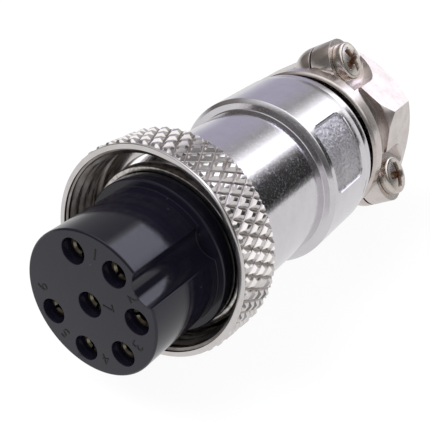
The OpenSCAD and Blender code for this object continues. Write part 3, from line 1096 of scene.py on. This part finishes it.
@dataclass
class Numerals:
    """Small plain numerals moulded beside the holes of the insert's face."""

    circle_radius: float = 4.27
    outwards: float = 0.3
    first_angle: float = 105.6
    offset: float = 27.0
    middle_place: tuple[float, float] = (1.75, 14.0)
    size: float = 1.4
    height: float = 0.035
    thinning: float = 0.012

    def build(self, finish: Finish) -> Thing:
        """Builds one numeral for each hole and joins them.

        Args:
            finish: Their material.

        Returns:
            All the numerals as one piece.
        """
        spots = [
            (self.circle_radius + self.outwards, self.first_angle - k * 360 / 7 - self.offset)
            for k in range(6)
        ]
        work = bmesh.new()
        for number, (radius, angle) in enumerate([*spots, self.middle_place], 1):
            text = bpy.data.curves.new("numeral", "FONT")
            text.body = str(number)
            text.size = self.size * MM
            text.align_x = "CENTER"
            text.align_y = "CENTER"
            text.extrude = self.height * MM
            text.offset = -self.thinning * MM
            holder = bpy.data.objects.new("numeral", text)
            mesh = bpy.data.meshes.new_from_object(holder)
            a = math.radians(angle)
            centre = Vector((radius * math.cos(a), 0, radius * math.sin(a))) * MM
            upright = Matrix.Rotation(math.radians(90), 4, "X")
            spin = Matrix.Rotation(math.radians(90) - a, 4, "Y")
            mesh.transform(Matrix.Translation(centre) @ spin @ upright)
            work.from_mesh(mesh)
            bpy.data.objects.remove(holder)
            bpy.data.curves.remove(text)
            bpy.data.meshes.remove(mesh)
        bmesh.ops.remove_doubles(work, verts=work.verts, dist=WELD / 2)
        mesh = bpy.data.meshes.new("face_numerals")
        work.to_mesh(mesh)
        work.free()
        mesh.materials.append(finish)
        return new_thing("face_numerals", mesh)


# ---------------------------------------------------------------- studio


class Tint(Enum):
    """Casts of the studio's cards."""

    PLAIN = "#ffffff"
    COOL = "#ebedff"
    LILAC = "#eeeaff"
    PALE = "#f3f3ff"
    WARM = "#fff7f1"


@dataclass(frozen=True)
class Card:
    """Edge of a card in a ring: its angle about the axis, its light and its cast."""

    angle: float
    light: float
    tint: Tint = Tint.PLAIN


@dataclass
class Studio:
    """Pale floor, plain lamps for what scatters light, and cards that the metal mirrors.

    Light blends evenly from one card's edge to the next. A light of 1 is white.
    """

    dome_radius: float = 2.0
    dome_strength: float = 3.0
    floor_size: float = 3.0
    floor_mirrored: float = 0.8
    floor_white: float = 0.92
    world_strength: float = 0.75
    lamp_size: float = 0.5
    key_place: tuple[float, float, float] = (-0.35, -0.25, 0.6)
    key_power: float = 6.0
    fill_place: tuple[float, float, float] = (0.5, -0.3, 0.35)
    fill_power: float = 2.5
    # Before the plug: one long dark card over grey
    before: tuple[Card, ...] = (
        Card(-180, 0.75), Card(-10, 0.75), Card(10, 0.12), Card(80, 0.2), Card(110, 0.2),
        Card(170, 0.14, Tint.WARM), Card(180, 0.75),
    )
    # Beside it: a soft box above, a dim warm wall on the left
    beside: tuple[Card, ...] = (
        Card(-180, 0.8), Card(-100, 0.85), Card(-12, 0.85), Card(0, 0.5), Card(10, 0.25),
        Card(24, 0.25), Card(34, 0.9), Card(44, 1.35), Card(100, 1.35), Card(118, 0.8),
        Card(140, 0.26, Tint.WARM), Card(165, 0.16, Tint.WARM), Card(180, 0.8),
    )
    # Over the nose: the bright box that lights the insert's side, sharp at both edges
    over_nose: tuple[Card, ...] = (
        Card(-180, 0.8), Card(-20, 0.8), Card(0, 0.3), Card(8, 0.06), Card(37, 0.09),
        Card(46, 2.3, Tint.COOL), Card(54, 2.9, Tint.COOL), Card(93, 2.8, Tint.COOL), Card(99, 0.95),
        Card(106, 0.36), Card(160, 0.42), Card(180, 0.7),
    )
    # Beyond it: pale below, a dark card on the right, a bright box above, a lilac wall behind
    far: tuple[Card, ...] = (
        Card(-180, 0.75, Tint.PALE), Card(-155, 0.85, Tint.PALE), Card(-92, 0.73), Card(-70, 0.84),
        Card(-25, 0.84), Card(-10, 0.7), Card(-2, 0.35), Card(3, 0.15), Card(9, 0.03), Card(38, 0.05),
        Card(45, 0.14), Card(51, 0.4), Card(57, 1.2), Card(61, 2.75, Tint.COOL),
        Card(75, 2.5, Tint.COOL), Card(84, 1.15), Card(93, 0.62), Card(100, 0.4),
        Card(122, 0.55, Tint.LILAC), Card(160, 0.55, Tint.LILAC), Card(180, 0.75, Tint.PALE),
    )
    # Past its end: an even pale room with a dark warm card
    end: tuple[Card, ...] = (
        Card(-180, 0.6), Card(-30, 0.75), Card(39, 0.8), Card(50, 1.3), Card(75, 1.25), Card(87, 0.85),
        Card(98, 0.25, Tint.WARM), Card(130, 0.2, Tint.WARM), Card(155, 0.5), Card(180, 0.6),
    )
    # Share of the way along the axis at which one ring of cards gives way to the next
    nose_edge: tuple[float, float] = (0.42, 0.55)
    far_edge: tuple[float, float] = (0.68, 0.735)
    before_edge: tuple[float, float] = (-0.55, -0.25)
    end_edge: tuple[float, float] = (0.858, 0.885)

    def build(self) -> None:
        """Builds floor, cards, lamps and world."""
        self.floor()
        self.dome()
        self.lamps()
        self.world()

    def floor(self) -> None:
        """A near-white floor under the plug's lowest point, which keeps a faint shadow."""
        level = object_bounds()[0].z
        half = self.floor_size / 2
        corners = [(-half, -half, level), (half, -half, level), (half, half, level), (-half, half, level)]
        mesh = bpy.data.meshes.new("floor")
        mesh.from_pydata(corners, [], [(0, 1, 2, 3)])
        finish, tree = new_finish("white_sweep_floor")
        seen = add_node(tree, "LightPath").outputs
        rays = {0: seen["Is Camera Ray"], 1: seen["Is Transmission Ray"]}
        direct = add_node(tree, "Math", rays, operation="MAXIMUM").outputs[0]
        whiter = {0: direct, 1: self.floor_white}
        share = add_node(tree, "Math", whiter, operation="MULTIPLY", use_clamp=True).outputs[0]
        glossy = seen["Is Glossy Ray"]
        both = add_node(tree, "Math", {0: share, 1: glossy}, operation="MAXIMUM").outputs[0]
        dimmer = {0: glossy, 1: self.floor_mirrored - 1, 2: 1.0}
        strength = add_node(tree, "Math", dimmer, operation="MULTIPLY_ADD").outputs[0]
        matt = add_node(tree, "BsdfDiffuse", {"Color": linear("#f4f4f5")}).outputs[0]
        glow = add_node(tree, "Emission", {"Color": linear("#ffffff"), "Strength": strength}).outputs[0]
        mixed = add_node(tree, "MixShader", {0: both, 1: matt, 2: glow})
        add_node(tree, "OutputMaterial", {"Surface": mixed.outputs[0]})
        mesh.materials.append(finish)
        new_thing("floor", mesh)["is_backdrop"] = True

    def ring(self, tree: Tree, share: Socket, cards: tuple[Card, ...]) -> Socket:
        """Makes one ring of cards.

        Args:
            tree: The cards' nodes.
            share: Angle about the axis as a share of a whole turn from -180.
            cards: The cards' edges, in order.

        Returns:
            The ring's colour.
        """
        stops = []
        for card in cards:
            light = [c * card.light / self.dome_strength for c in linear(card.tint.value)[:3]]
            stops.append(((card.angle + 180) / 360, (*light, 1.0)))
        ramp = add_node(tree, "ValToRGB", {"Fac": share})
        set_ramp(ramp, stops)
        return ramp.outputs["Color"]

    def dome(self) -> None:
        """Cards round the plug, seen only by reflections: their tone goes by the angle about +Y."""
        rows, columns, pole = 24, 72, 0.02
        polar = np.linspace(pole, math.pi - pole, rows)[:, None]
        around = np.arange(columns)[None, :] * 360 / columns
        points = turn_about_y(np.sin(polar), -np.cos(polar), around) * self.dome_radius
        mesh = bpy.data.meshes.new("studio_cards")
        mesh.from_pydata(points.reshape(-1, 3).tolist(), [], grid_faces(rows, columns, False).tolist())
        finish, tree = new_finish("studio_cards")
        place = add_node(tree, "TexCoord").outputs["Object"]
        xyz = add_node(tree, "SeparateXYZ", {"Vector": place}).outputs
        angle = add_node(tree, "Math", {0: xyz["Z"], 1: xyz["X"]}, operation="ARCTAN2").outputs[0]
        turn = {"Value": angle, "From Min": -math.pi, "From Max": math.pi}
        share = add_node(tree, "MapRange", turn).outputs["Result"]
        colour = self.ring(tree, share, self.before)
        for cards, (start, stop) in (
            (self.beside, self.before_edge),
            (self.over_nose, self.nose_edge),
            (self.far, self.far_edge),
            (self.end, self.end_edge),
        ):
            ring = self.ring(tree, share, cards)
            span = {"From Min": start * self.dome_radius, "From Max": stop * self.dome_radius}
            past = add_node(tree, "MapRange", {"Value": xyz["Y"], **span}, interpolation_type="SMOOTHSTEP")
            tones = {"Factor": past.outputs["Result"], "A": colour, "B": ring}
            colour = add_node(tree, "Mix", tones, data_type="RGBA").outputs["Result"]
        glow = add_node(tree, "Emission", {"Color": colour, "Strength": self.dome_strength})
        add_node(tree, "OutputMaterial", {"Surface": glow.outputs[0]})
        finish.cycles.emission_sampling = "NONE"
        mesh.materials.append(finish)
        dome = new_thing("studio_cards", mesh)
        dome.visible_camera = False
        dome.visible_diffuse = False
        dome.visible_shadow = False
        dome.visible_transmission = False
        dome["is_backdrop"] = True

    def lamps(self) -> None:
        """A large soft lamp above on the left and a weaker one on the right, for scattered light."""
        for name, place, power in (
            ("key_lamp", self.key_place, self.key_power),
            ("fill_lamp", self.fill_place, self.fill_power),
        ):
            data = bpy.data.lights.new(name, "AREA")
            data.size = self.lamp_size
            data.energy = power
            lamp = new_thing(name, data)
            lamp.location = place
            lamp.rotation_euler = (-Vector(place)).to_track_quat("-Z", "Y").to_euler()
            lamp.visible_glossy = False

    def world(self) -> None:
        """Plain pale light all round, and white where the camera or a reflection looks past."""
        world = bpy.data.worlds.new("pale_room")
        bpy.context.scene.world = world
        world.use_nodes = True
        tree = world.node_tree
        tree.nodes.clear()
        seen = add_node(tree, "LightPath").outputs
        rays = {0: seen["Is Camera Ray"], 1: seen["Is Glossy Ray"]}
        first = add_node(tree, "Math", rays, operation="MAXIMUM").outputs[0]
        rays = {0: first, 1: seen["Is Transmission Ray"]}
        white = add_node(tree, "Math", rays, operation="MAXIMUM").outputs[0]
        light = add_node(
            tree, "Background", {"Color": linear("#e9e9ec"), "Strength": self.world_strength}
        ).outputs[0]
        shown = add_node(tree, "Background", {"Color": linear("#ffffff"), "Strength": 1.0}).outputs[0]
        mixed = add_node(tree, "MixShader", {0: white, 1: light, 2: shown})
        add_node(tree, "OutputWorld", {"Surface": mixed.outputs[0]})


@dataclass
class Camera:
    """The camera in front of the plug, to its right and above it."""

    place: tuple[float, float, float] = (33.27, -34.37, 33.39)
    forward: tuple[float, float, float] = (-0.4796, 0.7315, -0.4847)
    up: tuple[float, float, float] = (-0.2658, 0.4054, 0.8747)
    lens: float = 66.98
    sensor: float = 36.0
    nearest: float = 0.001
    furthest: float = 20.0

    def build(self) -> None:
        """Makes the camera and hands it to the scene."""
        data = bpy.data.cameras.new("camera")
        data.lens = self.lens
        data.sensor_width = self.sensor
        data.clip_start = self.nearest
        data.clip_end = self.furthest
        camera = new_thing("camera", data)
        forward = Vector(self.forward).normalized()
        right = forward.cross(Vector(self.up)).normalized()
        turn = Matrix((right, right.cross(forward), -forward)).transposed().to_4x4()
        camera.matrix_world = Matrix.Translation(Vector(self.place) * MM) @ turn
        bpy.context.scene.camera = camera


# ---------------------------------------------------------------- the plug


@dataclass
class Plug:
    """The whole plug: what is built anew, and what keeps its CAD shape under a new finish."""

    finishes: Finishes = field(default_factory=Finishes)

    def add(self, piece: Thing, body: str, slot: str, *nodes: str) -> None:
        """Lets a piece ride, hides the CAD nodes that it stands for, and reports it.

        Args:
            piece: The piece.
            body: The body that it rides on.
            slot: Its material slot. Not used.
            nodes: The CAD nodes that it replaces.
        """
        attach(piece, body)
        if nodes:
            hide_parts(*nodes)
        LOG.info("%s: %d faces on %s", piece.name, len(piece.data.polygons), body)

    def dress(self, node: str, finish: Finish) -> None:
        """Gives a CAD node its finish and reports it.

        Args:
            node: The node's name.
            finish: Its material.
        """
        thing = frame["nodes"][node]
        for place in thing.material_slots:
            place.material = finish
        LOG.info("%s keeps its CAD shape", node)

    def build(self) -> None:
        """Builds and dresses every piece."""
        looks = self.finishes
        self.add(CouplingNut().build(looks.nut), "nut", "nut", "coupling_nut")
        self.add(RearShell().build(looks.shell), "plug", "shell", "rear_shell")
        self.add(FrontSleeve().build(looks.sleeve), "plug", "sleeve", "front_sleeve")
        for side in Side:
            name = side.name.lower()
            screw = ClampScrew(side).build(looks.screws)
            self.add(screw, name + "_screw", "screws", "clamp_screw_" + name)
        self.add(merged_copy("insert", looks.insert, 0.05), "plug", "insert", "insert")
        self.add(Numerals().build(looks.numerals), "plug", "insert")
        self.add(merged_copy("clamp_base", looks.clamp, 0.07), "plug", "clamp", "clamp_base")
        self.add(merged_copy("clamp_saddle", looks.clamp, 0.07), "saddle", "clamp", "clamp_saddle")
        self.dress("contact_plate", looks.plate)
        for number in range(1, 8):
            self.dress(f"contact_{number}", looks.contacts)


def main() -> None:
    """Builds the camera, the plug and the studio, in that order."""
    logging.basicConfig(level=logging.INFO, format="%(name)s: %(message)s")
    Camera().build()
    Plug().build()
    Studio().build()
    bpy.context.scene.view_settings.view_transform = "Standard"


if __name__ == "__main__":
    main()
